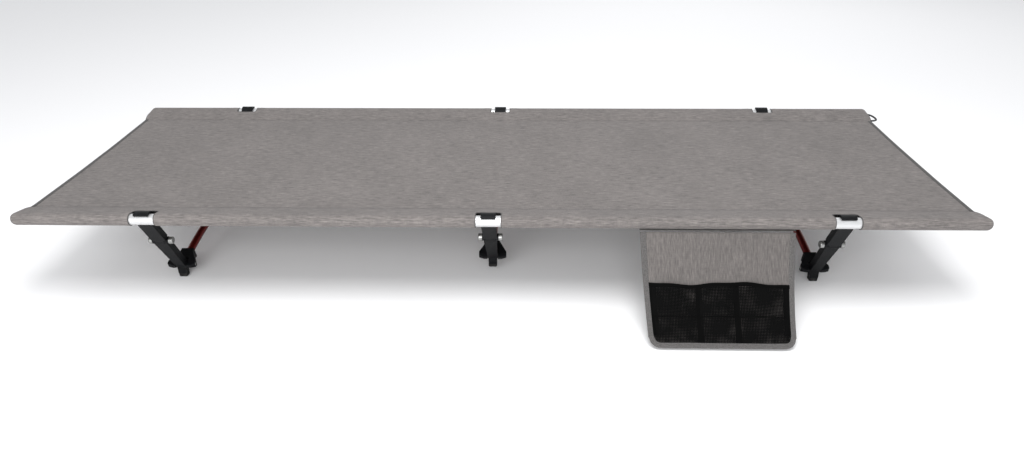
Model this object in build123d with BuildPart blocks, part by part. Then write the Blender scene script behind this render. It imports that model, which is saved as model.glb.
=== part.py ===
from build123d import *
from math import atan2, cos, degrees, hypot, radians, sin
import os

os.makedirs("parts", exist_ok=True)

# A low camp cot. X runs along the bed, Y across it from the front side to the back side,
# Z is up and the floor is Z = 0. Sizes are in millimetres, angles in degrees.
RAIL_SPACING = 620
RAIL_HEIGHT = 190
RAIL_D = 22
TUBE_WALL = 1.2
RAIL_SECTIONS = 5
RAIL_END = 936
CAP_LENGTH = 12.2
FRONT = -RAIL_SPACING / 2

# Bed cloth: a panel between two closed sleeves, each drawn from its rail to a flat seam
CLOTH = 1.2
SLEEVE_EASE = 0.35
SLEEVE_END = 950
SLEEVE_R = RAIL_D / 2 + SLEEVE_EASE + CLOTH
SEAM_INSET = 55
SEAM_Z = RAIL_HEIGHT - 1.8
SEAM_ALLOWANCE = 5
HEM_X = 943
BINDING_W = 8
WINDOW_LENGTH = 50
WINDOW_INSET = {"over": 20, "under": 27}
SLEEVE_TIP = 12.5

# One side of a leg set, on the bench: the rail axis is the origin and the lever hangs straight down
BOLT_DROP = 84
PIN_DROP = 191
HOOK_GAP = 0.5
HOOK_WALL = 4.5
HOOK_WIDTH = 29
ARM_DEPTH = 15
SHOULDER_GAP = 0.5
HOOK_LIP = 1
TONGUE_WIDTH = 18
FORK_GAP = 0.3
FORK_WIDTH = 28
BOSS_WIDTH = 34
BOSS_R = 8
BOLT_HEAD = 8
BOLT_HEAD_R = 7.5
STEM_WIDTH = 22
PIVOT_R = 3
PIVOT_EASE = 0.05
FOOT_DROP = 28
PAD_HEIGHT = 8
YOKE_WIDTH = 59
YOKE_LENGTH = 42
KNUCKLE_R = 6
RIM_REACH = 7
RIM_R = 4
MOUTH_WIDTH = 27
POLE_D = 16
POLE_WALL = 1.2
POLE_DROP = 4
SOCKET_DEPTH = 26

# Leg sets: the lever leans in from upright by LEAN, and the pole leaves its yoke rising by RISE
OUTER_LEAN = 32.0
MIDDLE_LEAN = 40.0
OUTER_RISE = 12.5
LEGS = {
    "left": (-687, OUTER_LEAN),
    "middle": (-11, MIDDLE_LEAN),
    "right": (676, OUTER_LEAN),
}
SIDES = {"front": 0, "back": 180}
YOKE_TILT = OUTER_RISE - OUTER_LEAN

# Side pocket, hung from under the front sleeve and curving out to the floor
POCKET_X = 430
POCKET_TOP_W = 298
POCKET_FOOT_W = 273
POCKET_HINGE = (FRONT - 9.3, RAIL_HEIGHT - 13.4)
POCKET_TOE = (FRONT - 152, 5.5)
POCKET_RADIUS = 518
POCKET_CLOTH = 1.6
POCKET_BORDER = 11
POCKET_DEPTH = 9
MESH_WALL = 1.2
MESH_START = 0.45
DIVIDERS = (-40, 31)
POCKET_START = 0.011
POCKET_END = 1.0
HALF_CLOTH = POCKET_CLOTH / 2
BORDER_HALF = 1.4


def finish(piece, name):
    """Name one finished piece and write it."""
    piece.part.label = name
    export_step(piece.part, f"parts/{name}.step")


def point_from_pin(distance, angle):
    """A bench point in (Y, Z), at a distance and angle from the foot pin."""
    return (distance * cos(radians(angle)), -PIN_DROP + distance * sin(radians(angle)))


# ---- rails ----


def rail_sections(side, y):
    """The five tubes of one rail, butted end to end."""
    length = 2 * RAIL_END / RAIL_SECTIONS
    for index in range(RAIL_SECTIONS):
        start = Plane.YZ.offset(-RAIL_END + index * length)
        with BuildPart() as tube:
            with BuildSketch(start):
                with Locations((y, RAIL_HEIGHT)):
                    Circle(RAIL_D / 2)
                    Circle(RAIL_D / 2 - TUBE_WALL, mode=Mode.SUBTRACT)
            extrude(amount=length)
        finish(tube, f"{side}_rail_tube_{index + 1}")


def rail_ferrules(side, y):
    """Spigots inside the four joints of one rail."""
    length = 80
    outer = RAIL_D / 2 - TUBE_WALL - PIVOT_EASE
    pitch = 2 * RAIL_END / RAIL_SECTIONS
    with BuildPart() as ferrules:
        with Locations(Pos(0, y, RAIL_HEIGHT)):
            with GridLocations(pitch, 1, RAIL_SECTIONS - 1, 1):
                Cylinder(outer, length, rotation=(0, 90, 0))
                Cylinder(outer - TUBE_WALL, length, rotation=(0, 90, 0), mode=Mode.SUBTRACT)
    finish(ferrules, f"{side}_rail_ferrules")


def rail_end_caps(side, y):
    """A plug with a domed head in each end of one rail."""
    plug_length = 12
    dome = 9.5
    with BuildPart() as caps:
        for end in (-1, 1):
            rim = Plane(origin=(end * RAIL_END, y, RAIL_HEIGHT), z_dir=(end, 0, 0))
            with BuildSketch(rim):
                Circle(RAIL_D / 2)
            extrude(amount=CAP_LENGTH)
            with BuildSketch(rim):
                Circle(RAIL_D / 2 - TUBE_WALL - PIVOT_EASE)
            extrude(amount=-plug_length)
        fillet(caps.edges().group_by(Axis.X)[0], dome)
        fillet(caps.edges().group_by(Axis.X)[-1], dome)
    finish(caps, f"{side}_rail_end_caps")


def rail_shock_cord(side, y):
    """The elastic cord that ties the tubes of one rail together, from plug to plug."""
    length = 2 * (RAIL_END - 12)
    with BuildPart() as cord:
        with Locations((0, y, RAIL_HEIGHT)):
            Cylinder(1.5, length, rotation=(0, 90, 0))
    finish(cord, f"{side}_shock_cord")


# ---- bed cloth ----


def sleeve_outline(y, inward, radius, tip):
    """A sleeve's teardrop section: round the rail, drawn flat to the seam with the panel."""
    tip_inset, tip_radius = tip
    with BuildSketch(Plane.YZ) as outline:
        with Locations((y, RAIL_HEIGHT)):
            Circle(radius)
        with Locations((y + inward * tip_inset, SEAM_Z)):
            Circle(tip_radius)
        make_hull()
    return outline.sketch


def sleeve_body(y, inward, radius, tip, end):
    """One sleeve, or its hollow, with its ends cut back from the tip to the hem line."""
    inner = RAIL_SPACING / 2 - SEAM_INSET - SEAM_ALLOWANCE
    edge = RAIL_SPACING / 2 - SLEEVE_TIP
    with BuildPart() as body:
        extrude(sleeve_outline(y, inward, radius, tip), amount=end, both=True)
        with BuildSketch(Plane.XY) as plan:
            with BuildLine():
                Polyline(
                    (HEM_X - (SLEEVE_END - end), -inward * inner),
                    (end, -inward * edge),
                    (end + 5, -inward * edge),
                    (end + 5, -inward * inner),
                    close=True,
                )
            make_face()
            mirror(about=Plane.YZ)
        extrude(amount=2 * RAIL_HEIGHT, mode=Mode.SUBTRACT)
    return body.part


def bed_cloth():
    """The panel and its two sleeves, with a window over the rail at each hook."""
    panel_end = HEM_X - BINDING_W
    panel_half = RAIL_SPACING / 2 - SEAM_INSET
    with BuildPart() as cloth:
        with Locations((0, 0, SEAM_Z)):
            Box(2 * panel_end, 2 * panel_half + 2, CLOTH)
        for y, inward in ((FRONT, 1), (-FRONT, -1)):
            add(sleeve_body(y, inward, SLEEVE_R, (SEAM_INSET, CLOTH / 2), SLEEVE_END))
        hollow_tip = (SEAM_INSET - SEAM_ALLOWANCE, 0.1)
        for y, inward in ((FRONT, 1), (-FRONT, -1)):
            hollow = sleeve_body(y, inward, SLEEVE_R - CLOTH, hollow_tip, SLEEVE_END - CLOTH)
            add(hollow, mode=Mode.SUBTRACT)
        for layer, z in (("over", RAIL_HEIGHT + 15), ("under", RAIL_HEIGHT - 15)):
            depth = WINDOW_INSET[layer] + 20
            window_y = RAIL_SPACING / 2 - WINDOW_INSET[layer] + depth / 2
            for x, lean in LEGS.values():
                with Locations((x, window_y, z), (x, -window_y, z)):
                    Box(WINDOW_LENGTH, depth, 30, mode=Mode.SUBTRACT)
    finish(cloth, "bed_cloth")


def hem_binding(side, end):
    """The tape that binds one end of the panel between the sleeves."""
    length = RAIL_SPACING - 2 * SEAM_INSET - 2
    with BuildPart() as tape:
        with Locations((end * (HEM_X - BINDING_W / 2), 0, SEAM_Z)):
            Box(BINDING_W, length, 2 * CLOTH)
    finish(tape, f"{side}_hem_binding")


def corner_loop():
    """The hanging loop at the back right corner: straight runs with one round bend."""
    cord_r = 2.2
    route = [(950.2, 300, 191), (958, 300, 190.5), (968, 281, 186), (956, 259, 189), (944.4, 259, 189)]
    bend = 9
    with BuildPart() as loop:
        with BuildLine() as path:
            run = FilletPolyline(*route, radius=bend)
        with BuildSketch(Plane(origin=run @ 0, z_dir=run % 0)):
            Circle(cord_r)
        sweep()
    print(f"corner_loop: route {run.length:.1f} mm, bend radius {bend} mm, cord radius {cord_r} mm")
    finish(loop, "corner_loop")


# ---- leg sets ----


def build_hook_arm():
    """Hook over the rail and its arm down to the cross bolt, on the bench."""
    inner = RAIL_D / 2 + HOOK_GAP
    outer = inner + HOOK_WALL
    lip_top = outer - 0.5
    shoulder = -BOLT_DROP + BOSS_R + SHOULDER_GAP
    with BuildPart() as arm:
        with BuildSketch(Plane.YZ):
            Circle(outer)
            with Locations((-outer, 0)):
                Rectangle(2 * outer, 2 * outer, mode=Mode.SUBTRACT)
            with Locations((1.5 - HOOK_LIP / 2, (inner + lip_top) / 2)):
                RectangleRounded(3 + HOOK_LIP, lip_top - inner, 1.8)
            with Locations((0, -(inner + BOLT_DROP) / 2)):
                Rectangle(ARM_DEPTH, BOLT_DROP - inner)
            with Locations((0, -BOLT_DROP)):
                Circle(BOSS_R)
            Circle(inner, mode=Mode.SUBTRACT)
        extrude(amount=HOOK_WIDTH / 2, both=True)
        with BuildSketch(Plane.XZ):
            with BuildLine():
                Polyline(
                    (-HOOK_WIDTH / 2, outer),
                    (-FORK_WIDTH / 2, shoulder),
                    (-TONGUE_WIDTH / 2, shoulder),
                    (-TONGUE_WIDTH / 2, -BOLT_DROP - BOSS_R),
                    (TONGUE_WIDTH / 2, -BOLT_DROP - BOSS_R),
                    (TONGUE_WIDTH / 2, shoulder),
                    (FORK_WIDTH / 2, shoulder),
                    (HOOK_WIDTH / 2, outer),
                    close=True,
                )
            make_face()
        extrude(amount=2 * outer, both=True, mode=Mode.INTERSECT)
        with Locations((0, 0, -BOLT_DROP)):
            Cylinder(PIVOT_R + PIVOT_EASE, FORK_WIDTH, rotation=(0, 90, 0), mode=Mode.SUBTRACT)
    return arm


def build_lever():
    """Lever from the fork at the cross bolt, past the foot pin, to the foot."""
    slot = TONGUE_WIDTH + 2 * FORK_GAP
    drop = -BOLT_DROP
    waist = drop - 70
    with BuildPart() as lever:
        with BuildSketch(Plane.YZ):
            with Locations((0, drop), (0, -PIN_DROP)):
                Circle(BOSS_R)
            make_hull()
        extrude(amount=FORK_WIDTH / 2, both=True)
        with BuildSketch(Plane.XZ):
            with BuildLine():
                Polyline(
                    (-FORK_WIDTH / 2, drop + BOSS_R),
                    (-STEM_WIDTH / 2, waist),
                    (-STEM_WIDTH / 2, -PIN_DROP - BOSS_R),
                    (STEM_WIDTH / 2, -PIN_DROP - BOSS_R),
                    (STEM_WIDTH / 2, waist),
                    (FORK_WIDTH / 2, drop + BOSS_R),
                    close=True,
                )
            make_face()
        extrude(amount=BOSS_R, both=True, mode=Mode.INTERSECT)
        with Locations((0, 0, drop)):
            Cylinder(BOSS_R - 0.5, BOSS_WIDTH, rotation=(0, 90, 0))
            Cylinder(BOSS_R + FORK_GAP, slot, rotation=(0, 90, 0), mode=Mode.SUBTRACT)
            Cylinder(PIVOT_R, BOSS_WIDTH, rotation=(0, 90, 0), mode=Mode.SUBTRACT)
        with Locations((0, 0, drop + BOSS_R)):
            Box(slot, 4 * BOSS_R, 2 * BOSS_R, mode=Mode.SUBTRACT)
        shank = Plane(origin=(0, 0, -PIN_DROP), x_dir=(1, 0, 0), z_dir=foot_direction())
        with BuildSketch(shank):
            Rectangle(18, 14)
        extrude(amount=FOOT_DROP - PAD_HEIGHT)
        with Locations((0, 0, -PIN_DROP)):
            Cylinder(PIVOT_R + PIVOT_EASE, YOKE_WIDTH, rotation=(0, 90, 0), mode=Mode.SUBTRACT)
    return lever


def foot_direction():
    """Bench direction that points straight down once an outer lever is in place."""
    return (0, -sin(radians(OUTER_LEAN)), -cos(radians(OUTER_LEAN)))


def build_foot_pad():
    """Rubber pad under the foot."""
    down = foot_direction()
    reach = FOOT_DROP - PAD_HEIGHT
    seat = (0, reach * down[1], -PIN_DROP + reach * down[2])
    with BuildPart() as pad:
        with BuildSketch(Plane(origin=seat, x_dir=(1, 0, 0), z_dir=down)):
            RectangleRounded(18.6, 16, 4)
        extrude(amount=PAD_HEIGHT)
        fillet(pad.faces().sort_by(Axis((0, 0, 0), down))[-1].edges(), 2)
    return pad


def build_cross_bolt():
    """Bolt through the fork and the hook arm, with a long round head at each end."""
    head = BOLT_HEAD
    with BuildPart() as bolt:
        Cylinder(PIVOT_R, BOSS_WIDTH, rotation=(0, 90, 0))
        with Locations((BOSS_WIDTH / 2 + head / 2, 0, 0), (-BOSS_WIDTH / 2 - head / 2, 0, 0)):
            Cylinder(BOLT_HEAD_R, head, rotation=(0, 90, 0))
        fillet(bolt.edges().group_by(Axis.X)[0], 2)
        fillet(bolt.edges().group_by(Axis.X)[-1], 2)
    return bolt


def build_foot_pin():
    """Pin through the yoke and the lever, flush with the yoke's sides."""
    with BuildPart() as pin:
        Cylinder(PIVOT_R, YOKE_WIDTH, rotation=(0, 90, 0))
    return pin


def build_yoke():
    """Bell-shaped forked socket on the end of an arch pole, holding the lever on the foot pin."""
    tilt = radians(YOKE_TILT)
    up = (0, -sin(tilt), cos(tilt))
    plan = Plane(origin=(0, 0, -PIN_DROP), x_dir=(1, 0, 0), z_dir=up)
    half = YOKE_WIDTH / 2
    mouth_half = MOUTH_WIDTH / 2
    ear = 4
    taper_end = YOKE_LENGTH - 8
    slot = STEM_WIDTH + 1
    mouth_angle = YOKE_TILT - degrees(atan2(POLE_DROP, YOKE_LENGTH))
    pin_to_mouth = point_from_pin(hypot(YOKE_LENGTH, POLE_DROP), mouth_angle)
    with BuildPart() as yoke:
        with BuildSketch(Plane.YZ):
            with Locations((0, -PIN_DROP)):
                Circle(KNUCKLE_R)
            with Locations(point_from_pin(RIM_REACH, YOKE_TILT + 180)):
                Circle(RIM_R)
            with Locations(pin_to_mouth):
                Circle(POLE_D / 2 + 4)
            make_hull()
        extrude(amount=half, both=True)
        with BuildSketch(plan):
            with BuildLine():
                Polyline(
                    (-half, -ear),
                    (-half, ear),
                    (-mouth_half, taper_end),
                    (-mouth_half, YOKE_LENGTH),
                    (mouth_half, YOKE_LENGTH),
                    (mouth_half, taper_end),
                    (half, ear),
                    (half, -ear),
                )
                ThreePointArc((half, -ear), (0, -3 * ear), (-half, -ear))
            make_face()
        extrude(amount=YOKE_LENGTH, both=True, mode=Mode.INTERSECT)
        with BuildSketch(plan):
            Rectangle(slot, 26)
        extrude(amount=YOKE_LENGTH, both=True, mode=Mode.SUBTRACT)
        mouth = Plane(origin=(0, *pin_to_mouth), x_dir=(1, 0, 0), z_dir=(0, cos(tilt), sin(tilt)))
        with BuildSketch(mouth):
            Circle(POLE_D / 2)
        extrude(amount=-SOCKET_DEPTH, mode=Mode.SUBTRACT)
        with Locations((0, 0, -PIN_DROP)):
            Cylinder(PIVOT_R, YOKE_WIDTH, rotation=(0, 90, 0), mode=Mode.SUBTRACT)
    return yoke


def leg_seat(leg, side):
    """Where a bench piece goes: hung on its rail, leaned in, on the front or the back side."""
    x, lean = LEGS[leg]
    return Location((x, 0, 0), (0, 0, SIDES[side])) * Location((0, FRONT, RAIL_HEIGHT), (lean, 0, 0))


def leg_pieces():
    """Six sets of lever, hook arm, foot pad, cross bolt and yoke, and their foot pins."""
    bench = {
        "lever": (build_lever(), 0),
        "hook_arm": (build_hook_arm(), 0),
        "foot_pad": (build_foot_pad(), 0),
        "cross_bolt": (build_cross_bolt(), BOLT_DROP),
        "yoke": (build_yoke(), 0),
    }
    for leg in LEGS:
        for side in SIDES:
            for kind, (source, drop) in bench.items():
                with BuildPart() as piece:
                    with Locations(leg_seat(leg, side) * Location((0, 0, -drop))):
                        add(source.part)
                finish(piece, f"{leg}_{side}_{kind}")
    pin = build_foot_pin()
    with BuildPart() as pins:
        for leg in LEGS:
            for side in SIDES:
                with Locations(leg_seat(leg, side) * Location((0, 0, -PIN_DROP))):
                    add(pin.part)
    finish(pins, "foot_pins")


def arch_pole(leg):
    """A sprung pole bowed between its two yokes, straight where it enters the sockets."""
    x, lean = LEGS[leg]
    rise = radians(lean + YOKE_TILT)
    away, below = YOKE_LENGTH, POLE_DROP
    lean = radians(lean)
    y = FRONT + PIN_DROP * sin(lean) + away * cos(rise) + below * sin(rise)
    z = RAIL_HEIGHT - PIN_DROP * cos(lean) + away * sin(rise) - below * cos(rise)
    bow = -y / sin(rise)
    crown = z + bow * (1 - cos(rise))
    into = (SOCKET_DEPTH * cos(rise), SOCKET_DEPTH * sin(rise))
    with BuildPart() as pole:
        with BuildLine(Plane.YZ.offset(x)) as path:
            Line((y - into[0], z - into[1]), (y, z))
            ThreePointArc((y, z), (0, crown), (-y, z))
            Line((-y, z), (-y + into[0], z - into[1]))
        with BuildSketch(Plane(origin=path.line @ 0, z_dir=path.line % 0)):
            Circle(POLE_D / 2)
            Circle(POLE_D / 2 - POLE_WALL, mode=Mode.SUBTRACT)
        sweep()
    finish(pole, f"{leg}_arch_pole")


# ---- side pocket ----


def pocket_arc():
    """Centre of the pocket's curve, and the angles of its hinge and its toe."""
    reach = hypot(POCKET_TOE[0] - POCKET_HINGE[0], POCKET_TOE[1] - POCKET_HINGE[1])
    out = (POCKET_TOE[0] - POCKET_HINGE[0]) / reach
    down = (POCKET_TOE[1] - POCKET_HINGE[1]) / reach
    rise = (POCKET_RADIUS**2 - reach**2 / 4) ** 0.5
    centre = (
        (POCKET_HINGE[0] + POCKET_TOE[0]) / 2 + down * rise,
        (POCKET_HINGE[1] + POCKET_TOE[1]) / 2 - out * rise,
    )
    start = degrees(atan2(POCKET_HINGE[1] - centre[1], POCKET_HINGE[0] - centre[0]))
    finish_angle = degrees(atan2(POCKET_TOE[1] - centre[1], POCKET_TOE[0] - centre[0]))
    return centre, start, finish_angle


def pocket_slab(height, top, bottom):
    """A section along the pocket's curve: between two heights above the back cloth's mid line,
    from one fraction of its length to another."""
    centre, hinge_angle, toe_angle = pocket_arc()
    start = hinge_angle + (toe_angle - hinge_angle) * top
    sweep_angle = (toe_angle - hinge_angle) * (bottom - top)
    with BuildSketch(Plane.YZ.offset(POCKET_X)) as slab:
        with BuildLine():
            low = CenterArc(centre, POCKET_RADIUS - height[0], start, sweep_angle)
            high = CenterArc(centre, POCKET_RADIUS - height[1], start, sweep_angle)
            Line(low @ 0, high @ 0)
            Line(low @ 1, high @ 1)
        make_face()
    return slab.sketch


def pocket_outline(margin):
    """The pocket seen from the front, drawn in by a margin: narrower and rounded at the foot."""
    top = POCKET_HINGE[1] + 1
    foot = POCKET_TOE[1] - 2.5 + margin * 0.8
    corner = 22 - margin
    with BuildSketch(Plane.XZ) as outline:
        with BuildLine():
            Polyline(
                (POCKET_X - POCKET_TOP_W / 2 + margin, top),
                (POCKET_X - POCKET_FOOT_W / 2 + margin, foot),
                (POCKET_X + POCKET_FOOT_W / 2 - margin, foot),
                (POCKET_X + POCKET_TOP_W / 2 - margin, top),
                close=True,
            )
        make_face()
        fillet(outline.vertices().group_by(Axis.Y)[0], corner)
    return outline.sketch


def pocket_piece(height, top, bottom, margin):
    """A curved slab of the pocket cut to its outline."""
    with BuildPart() as piece:
        extrude(pocket_slab(height, top, bottom), amount=POCKET_TOP_W, both=True)
        extrude(pocket_outline(margin), amount=3 * POCKET_TOP_W, both=True, mode=Mode.INTERSECT)
    return piece


def pocket_back():
    """Back cloth of the pocket, inside its border tape."""
    with BuildPart() as back:
        add(pocket_piece((-HALF_CLOTH, HALF_CLOTH), POCKET_START, POCKET_END, POCKET_BORDER).part)
    finish(back, "pocket_back")


def pocket_border():
    """Tape round the two sides and the foot of the pocket."""
    with BuildPart() as border:
        add(pocket_piece((-BORDER_HALF, BORDER_HALF), POCKET_START, POCKET_END, 0).part)
        inside = pocket_piece((-5, 5), 0, POCKET_END, POCKET_BORDER).part
        add(inside, mode=Mode.SUBTRACT)
    finish(border, "pocket_border")


def divider_wall(offset, margin, foot):
    """One wall between two compartments of the mesh."""
    height = (HALF_CLOTH, HALF_CLOTH + POCKET_DEPTH - MESH_WALL / 2)
    with BuildPart() as wall:
        add(pocket_piece(height, MESH_START, foot, margin).part)
        with Locations((POCKET_X + offset, POCKET_TOE[0], RAIL_HEIGHT / 2)):
            Box(MESH_WALL, 2 * POCKET_TOP_W, 2 * RAIL_HEIGHT, mode=Mode.INTERSECT)
    return wall.part


def pocket_mesh():
    """Mesh front with three compartments, open at the top."""
    base = HALF_CLOTH
    foot = 0.985
    inner_height = (base - 1, base + POCKET_DEPTH - MESH_WALL)
    margin = POCKET_BORDER + 0.2
    room_foot = foot - 0.03
    with BuildPart() as mesh:
        add(pocket_piece((base, base + POCKET_DEPTH), MESH_START, foot, margin).part)
        room = pocket_piece(inner_height, MESH_START - 0.05, room_foot, margin + MESH_WALL).part
        add(room, mode=Mode.SUBTRACT)
        for offset in DIVIDERS:
            add(divider_wall(offset, margin, foot - 0.02))
    finish(mesh, "pocket_mesh")


def pocket_mesh_hem():
    """Tape on the upper edge of the mesh."""
    base = HALF_CLOTH + POCKET_DEPTH
    with BuildPart() as hem:
        add(pocket_piece((base, base + 1), MESH_START, MESH_START + 0.04, POCKET_BORDER + 0.2).part)
    finish(hem, "pocket_mesh_hem")


def pocket_seam_tape():
    """Tape sewn under the front sleeve, which the pocket hangs from."""
    with BuildPart() as tape:
        with Locations((POCKET_X, FRONT - 3, RAIL_HEIGHT - SLEEVE_R - 0.85)):
            Box(POCKET_TOP_W, 9, 1.3)
    finish(tape, "pocket_seam_tape")


for side, y in (("front", FRONT), ("back", -FRONT)):
    rail_sections(side, y)
    rail_ferrules(side, y)
    rail_end_caps(side, y)
    rail_shock_cord(side, y)
bed_cloth()
hem_binding("left", -1)
hem_binding("right", 1)
corner_loop()
leg_pieces()
for leg in LEGS:
    arch_pole(leg)
pocket_back()
pocket_border()
pocket_mesh()
pocket_mesh_hem()
pocket_seam_tape()
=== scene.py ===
import math

import bmesh
import bpy
from mathutils import Matrix, Vector


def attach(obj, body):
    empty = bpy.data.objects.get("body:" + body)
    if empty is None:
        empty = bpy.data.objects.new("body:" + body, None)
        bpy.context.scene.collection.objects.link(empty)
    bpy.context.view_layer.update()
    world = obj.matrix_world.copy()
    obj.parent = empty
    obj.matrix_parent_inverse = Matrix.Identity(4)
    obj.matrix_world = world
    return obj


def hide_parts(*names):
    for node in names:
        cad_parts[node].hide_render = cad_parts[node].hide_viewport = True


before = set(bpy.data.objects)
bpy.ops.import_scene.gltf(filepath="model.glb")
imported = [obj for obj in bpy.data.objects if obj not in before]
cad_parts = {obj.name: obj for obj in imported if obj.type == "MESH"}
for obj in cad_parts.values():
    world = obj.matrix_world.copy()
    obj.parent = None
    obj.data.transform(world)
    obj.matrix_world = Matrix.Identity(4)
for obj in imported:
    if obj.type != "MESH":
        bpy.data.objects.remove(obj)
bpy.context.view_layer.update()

# Sizes in metres, as the maker of the cot would give them
RAIL_Y = 0.310
RAIL_Z = 0.190
CLOTH_R = 0.0120
CLOTH_T = 0.0010
SLEEVE_END = 0.950
HEM_END = 0.943
HEM_BOW = 0.0015
SEAM_INSET = 0.055
SEAM_DROP = 0.0018
LEG_X = {"left": -0.687, "middle": -0.011, "right": 0.676}
SIDES = ("front", "back")
WINDOW_HALF = 0.0250
WINDOW_OVER = 0.0193
WINDOW_UNDER = 0.0265
WINDOW_CORNER = 0.0055
POCKET_HINGE = (-0.3193, 0.1766)
POCKET_TOE = (-0.462, 0.0055)
POCKET_RADIUS = 0.518
POCKET_X = 0.430
POCKET_TOP_W = 0.298
POCKET_FOOT_W = 0.273
POCKET_CORNER = 0.022
BORDER_W = 0.011
MESH_START = 0.45
DIVIDERS = (-0.040, 0.031)


# ---- shader maths ----


class Val:
    """A number inside a material, so that its arithmetic is written as plain expressions."""

    def __init__(self, finish, socket):
        self.finish = finish
        self.socket = socket

    def _do(self, operation, *others, clamp=False):
        return self.finish.maths(operation, self, *others, clamp=clamp)

    def __add__(self, other):
        return self._do("ADD", other)

    def __radd__(self, other):
        return self._do("ADD", other)

    def __sub__(self, other):
        return self._do("SUBTRACT", other)

    def __rsub__(self, other):
        return self.finish.maths("SUBTRACT", other, self)

    def __mul__(self, other):
        return self._do("MULTIPLY", other)

    def __rmul__(self, other):
        return self._do("MULTIPLY", other)

    def sin(self):
        return self._do("SINE")

    def above(self, edge):
        return self._do("GREATER_THAN", edge)

    def step(self, low, high):
        """0 below low, 1 above high, with a soft slope between."""
        slope = self._do("SUBTRACT", low)
        return slope._do("DIVIDE", high - low, clamp=True)


class Finish:
    """One material, built from nodes."""

    def __init__(self, name, **constants):
        self.material = bpy.data.materials.new(name)
        self.material.use_nodes = True
        self.tree = self.material.node_tree
        self.shader = self.tree.nodes["Principled BSDF"]
        for socket, value in constants.items():
            self.shader.inputs[socket.replace("_", " ")].default_value = value

    def node(self, kind, settings=None, **inputs):
        """A node of one kind, its settings made first, then its sockets given values or links."""
        made = self.tree.nodes.new("ShaderNode" + kind)
        for key, value in (settings or {}).items():
            if key == "stops":
                ramp = made.color_ramp
                while len(ramp.elements) < len(value):
                    ramp.elements.new(0.5)
                for element, (place, colour) in zip(ramp.elements, value):
                    element.position = place
                    element.color = (*colour, 1)
            else:
                setattr(made, key, value)
        for key, value in inputs.items():
            socket = made.inputs[int(key[1:])] if key[1:].isdigit() else made.inputs[key.replace("_", " ")]
            self.feed(socket, value)
        return made

    def feed(self, socket, value):
        if isinstance(value, Val):
            value = value.socket
        if isinstance(value, bpy.types.NodeSocket):
            self.tree.links.new(value, socket)
        else:
            socket.default_value = value

    def maths(self, operation, *values, clamp=False):
        settings = {"operation": operation, "use_clamp": clamp}
        inputs = {f"i{index}": value for index, value in enumerate(values)}
        return Val(self, self.node("Math", settings, **inputs).outputs[0])

    def parts(self, vector):
        split = self.node("SeparateXYZ", i0=vector)
        return [Val(self, out) for out in split.outputs]

    def place(self, kind):
        """Where a point of the surface is: on the cloth as it was cut, or on the object."""
        return self.node("TexCoord").outputs[kind]

    def stretched(self, vector, scale):
        moved = self.node("Mapping", {"vector_type": "POINT"}, Vector=vector, Scale=scale)
        return moved.outputs[0]

    def noise(self, vector, scale, detail=2.0, roughness=0.5):
        made = self.node("TexNoise", Vector=vector, Scale=scale, Detail=detail, Roughness=roughness)
        return Val(self, made.outputs["Fac"])

    def mix(self, factor, low, high, blend="MIX"):
        settings = {"data_type": "RGBA", "blend_type": blend}
        made = self.node("Mix", settings, i0=factor, i6=low, i7=high)
        return made.outputs[2]

    def ramp(self, factor, *stops):
        return self.node("ValToRGB", {"stops": stops}, i0=factor).outputs[0]

    def colour(self, value):
        self.feed(self.shader.inputs["Base Color"], value)

    def rough(self, value):
        self.feed(self.shader.inputs["Roughness"], value)

    def alpha(self, value):
        self.feed(self.shader.inputs["Alpha"], value)

    def bump(self, height, distance, strength=1.0):
        made = self.node("Bump", i0=strength, i1=distance, Height=height)
        self.feed(self.shader.inputs["Normal"], made.outputs[0])


def grey(level, warmth=0.0):
    return (level * (1 + warmth), level, level * (1 - 0.45 * warmth), 1)


def heather(name, level, turned=False, dark=0.58, light=1.55):
    """Two-tone polyester: pale and dark yarns in a plain weave, with slubs along the threads."""
    f = Finish(name, Specular_IOR_Level=0.2, Sheen_Weight=0.08, Sheen_Roughness=0.6)
    cut = f.place("UV")

    def threads(along, across):
        return f.stretched(cut, (across, along, 1) if turned else (along, across, 1))

    yarns = f.noise(threads(72, 640), 1.0, 3.0, 0.62)
    slubs = f.noise(threads(30, 290), 1.0, 2.0, 0.5)
    cross = f.noise(threads(900, 60), 1.0, 2.0, 0.5)
    cloud = f.noise(cut, 7.0, 3.0, 0.55)
    tone = yarns * 0.50 + slubs * 0.28 + cross * 0.12 + cloud * 0.10
    shade = f.ramp(
        tone.step(0.37, 0.63),
        (0.0, grey(level * dark, 0.085)[:3]),
        (0.5, grey(level, 0.095)[:3]),
        (1.0, grey(level * light, 0.105)[:3]),
    )
    f.colour(shade)
    x, y, z = f.parts(cut)
    pitch = 2 * math.pi / 0.0011
    weave = (x * pitch).sin() * (y * pitch).sin()
    f.bump(weave * 0.6 + yarns * 0.8, 0.00022, 0.55)
    f.rough(0.80 + yarns * 0.12)
    return f.material


def edge_tape(name, level):
    """Ribbed binding tape, a little darker than the cloth it edges."""
    f = Finish(name, Specular_IOR_Level=0.25, Sheen_Weight=0.1)
    cut = f.place("UV")
    x, y, z = f.parts(cut)
    ribs = (x * (2 * math.pi / 0.0016)).sin()
    fuzz = f.noise(f.stretched(cut, (260, 500, 1)), 1.0, 3.0, 0.6)
    f.colour(f.mix(fuzz.step(0.3, 0.7), grey(level * 0.58, 0.05), grey(level * 1.45, 0.05)))
    f.bump(ribs * 0.5 + fuzz, 0.0002, 0.6)
    f.rough(0.82 + fuzz * 0.1)
    return f.material


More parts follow.
